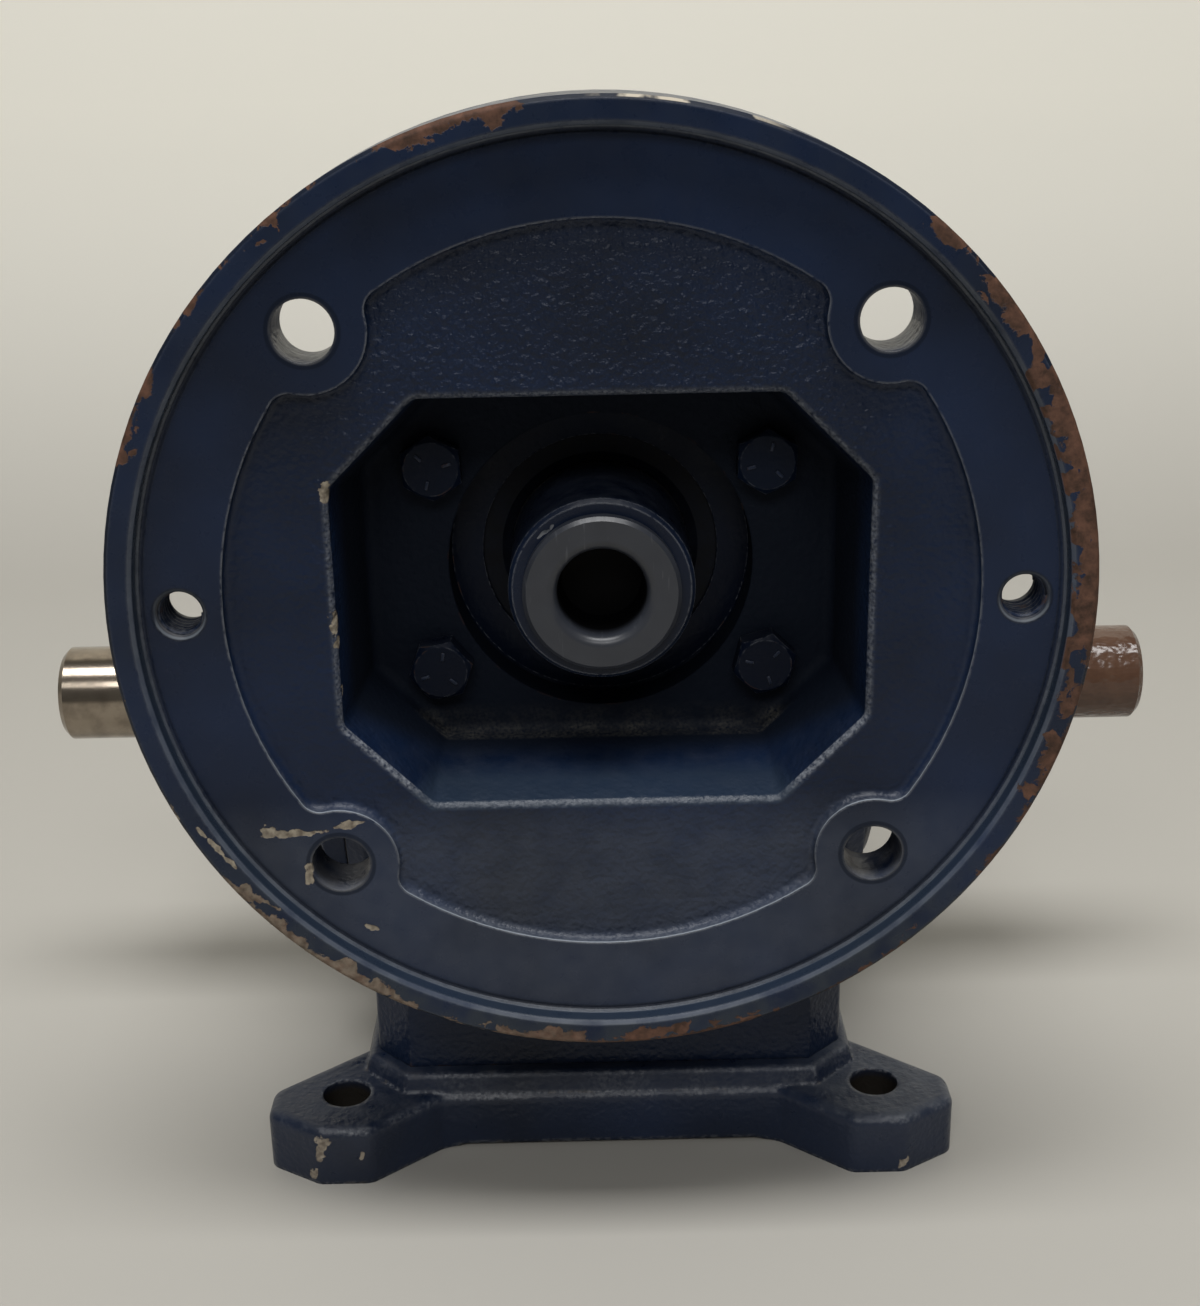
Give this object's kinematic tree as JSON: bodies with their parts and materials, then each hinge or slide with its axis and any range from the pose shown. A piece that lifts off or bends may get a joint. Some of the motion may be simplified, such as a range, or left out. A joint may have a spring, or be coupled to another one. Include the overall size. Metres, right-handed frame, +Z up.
{
  "type": "worm gear speed reducer",
  "caption": "Right-angle worm gear speed reducer with a round motor flange, a hollow keyed input and an output shaft that comes out on both sides of a footed housing.",
  "frame": {"origin": "centre of the foot hole pattern on the underside of the base, straight below the output shaft's axis", "axes": "+Z up, +X along the output shaft to the right seen from the motor, -Y out of the motor flange towards the motor"},
  "size_m": [0.3302, 0.2355, 0.2889],
  "materials": {
    "navy_paint": "semi-gloss navy enamel on cast iron",
    "gasket_sheet": "matte fibre",
    "black_steel": "black oxide",
    "plated_brass": "satin",
    "seal_rubber": "matte",
    "bearing_steel": "ground and polished",
    "grey_iron": "machined",
    "worm_steel": "ground thread, painted hub",
    "shaft_steel": "turned and ground",
    "gear_bronze": "hobbed",
    "grey_plastic": "moulded"
  },
  "bodies": {
    "case": {"motor_flange": "navy_paint", "flange_bolts": "navy_paint", "flange_gasket": "gasket_sheet", "gear_housing": "navy_paint", "base": "navy_paint", "base_bolts": "black_steel", "drain_plug": "navy_paint", "level_plug": "navy_paint", "breather": "plated_brass", "output_cover_left": "navy_paint", "output_cover_right": "navy_paint", "cover_gasket_left": "gasket_sheet", "cover_gasket_right": "gasket_sheet", "cover_bolts_left": "navy_paint", "cover_bolts_right": "navy_paint", "output_seal_left": "seal_rubber", "output_seal_right": "seal_rubber", "output_bearing_cup_left": "bearing_steel", "output_bearing_cup_right": "bearing_steel", "rear_cap": "navy_paint", "rear_cap_gasket": "gasket_sheet", "rear_cap_bolts": "navy_paint", "seal_carrier": "grey_iron", "carrier_ring": "seal_rubber", "input_seal": "seal_rubber", "front_bearing_outer": "bearing_steel", "rear_bearing_outer": "bearing_steel"},
    "output": {"output_shaft": "shaft_steel", "wheel_key": "shaft_steel", "wheel_hub": "grey_iron", "wheel_spacer": "shaft_steel", "wheel_rim": "gear_bronze", "output_bearing_cone_left": "bearing_steel", "output_bearing_cone_right": "bearing_steel"},
    "worm": {"worm_shaft": "worm_steel", "front_bearing_inner": "bearing_steel", "rear_bearing_inner": "bearing_steel", "snap_ring": "black_steel", "lock_washer": "black_steel", "lock_nut": "black_steel"},
    "front_balls": {"front_bearing_balls": "bearing_steel"},
    "rear_balls": {"rear_bearing_balls": "bearing_steel"},
    "left_rollers": {"output_rollers_left": "bearing_steel"},
    "right_rollers": {"output_rollers_right": "bearing_steel"},
    "plug": {"bore_plug": "grey_plastic"}
  },
  "joints": [
    {"name": "output_spin", "type": "hinge", "parent": "case", "child": "output", "pos_m": [0, 0, 0.10795], "axis": [1, 0, 0], "continuous": true},
    {"name": "worm_spin", "type": "hinge", "parent": "case", "child": "worm", "pos_m": [0, 0, 0.17463], "axis": [0, 1, 0], "continuous": true},
    {"name": "front_balls_spin", "type": "hinge", "parent": "case", "child": "front_balls", "pos_m": [0, -0.06, 0.17463], "axis": [0, 1, 0], "continuous": true},
    {"name": "rear_balls_spin", "type": "hinge", "parent": "case", "child": "rear_balls", "pos_m": [0, 0.06, 0.17463], "axis": [0, 1, 0], "continuous": true},
    {"name": "left_rollers_spin", "type": "hinge", "parent": "case", "child": "left_rollers", "pos_m": [-0.039, 0, 0.10795], "axis": [1, 0, 0], "continuous": true},
    {"name": "right_rollers_spin", "type": "hinge", "parent": "case", "child": "right_rollers", "pos_m": [0.039, 0, 0.10795], "axis": [1, 0, 0], "continuous": true},
    {"name": "bore_plug_pull", "type": "slide", "parent": "worm", "child": "plug", "axis": [0, -1, 0], "range_m": [0, 0.125]}
  ],
  "couplings": [
    {"joint": "worm_spin", "follows": "output_spin", "ratio": 30},
    {"joint": "front_balls_spin", "follows": "output_spin", "ratio": 12.07},
    {"joint": "rear_balls_spin", "follows": "output_spin", "ratio": 11.38},
    {"joint": "left_rollers_spin", "follows": "output_spin", "ratio": 0.431},
    {"joint": "right_rollers_spin", "follows": "output_spin", "ratio": 0.431}
  ]
}
